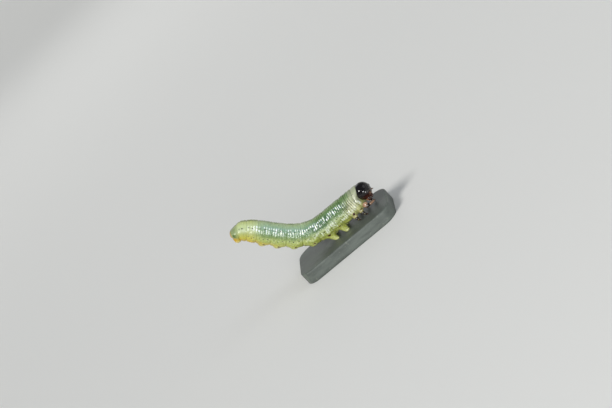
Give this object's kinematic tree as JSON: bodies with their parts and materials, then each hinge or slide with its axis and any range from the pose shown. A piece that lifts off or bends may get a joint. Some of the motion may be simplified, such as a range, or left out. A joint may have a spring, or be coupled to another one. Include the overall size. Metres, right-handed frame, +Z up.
{
  "type": "sawfly larva",
  "caption": "Life-size sawfly larva, glossy dark head, pale spotted body raised at the tail end, gripping a small flat display base.",
  "frame": {"origin": "middle of the underside of the display base", "axes": "+X towards the head, +Y to the larva's left, +Z up from the base to the back"},
  "size_m": [0.0163, 0.007, 0.0105],
  "materials": {
    "base": "fine honed slate with a softened edge",
    "skin": "moist translucent skin, pale green-white with fine rings and small black spots",
    "tail": "moist translucent skin, warm yellow at the end of the body",
    "proleg": "moist translucent skin, pale cream-green",
    "head": "polished black horn with a red-brown glow low on the face",
    "leg": "glossy dark brown horn with paler joints",
    "eye": "mirror-smooth black",
    "antenna": "glossy brown horn"
  },
  "bodies": {
    "root": {"stand_base": "base", "head": "head", "eye_left": "eye", "eye_right": "eye", "antenna_left": "antenna", "antenna_right": "antenna", "thorax": "skin", "abdomen_front": "skin", "abdomen_rear": "skin", "tail": "tail", "leg_1_left": "leg", "leg_1_right": "leg", "leg_2_left": "leg", "leg_2_right": "leg", "leg_3_left": "leg", "leg_3_right": "leg", "proleg_2_left": "proleg", "proleg_2_right": "proleg", "proleg_3_left": "proleg", "proleg_3_right": "proleg", "proleg_4_left": "proleg", "proleg_4_right": "proleg", "proleg_5_left": "proleg", "proleg_5_right": "proleg", "proleg_6_left": "proleg", "proleg_6_right": "proleg", "proleg_7_left": "proleg", "proleg_7_right": "proleg", "proleg_10_left": "proleg", "proleg_10_right": "proleg"}
  },
  "joints": []
}
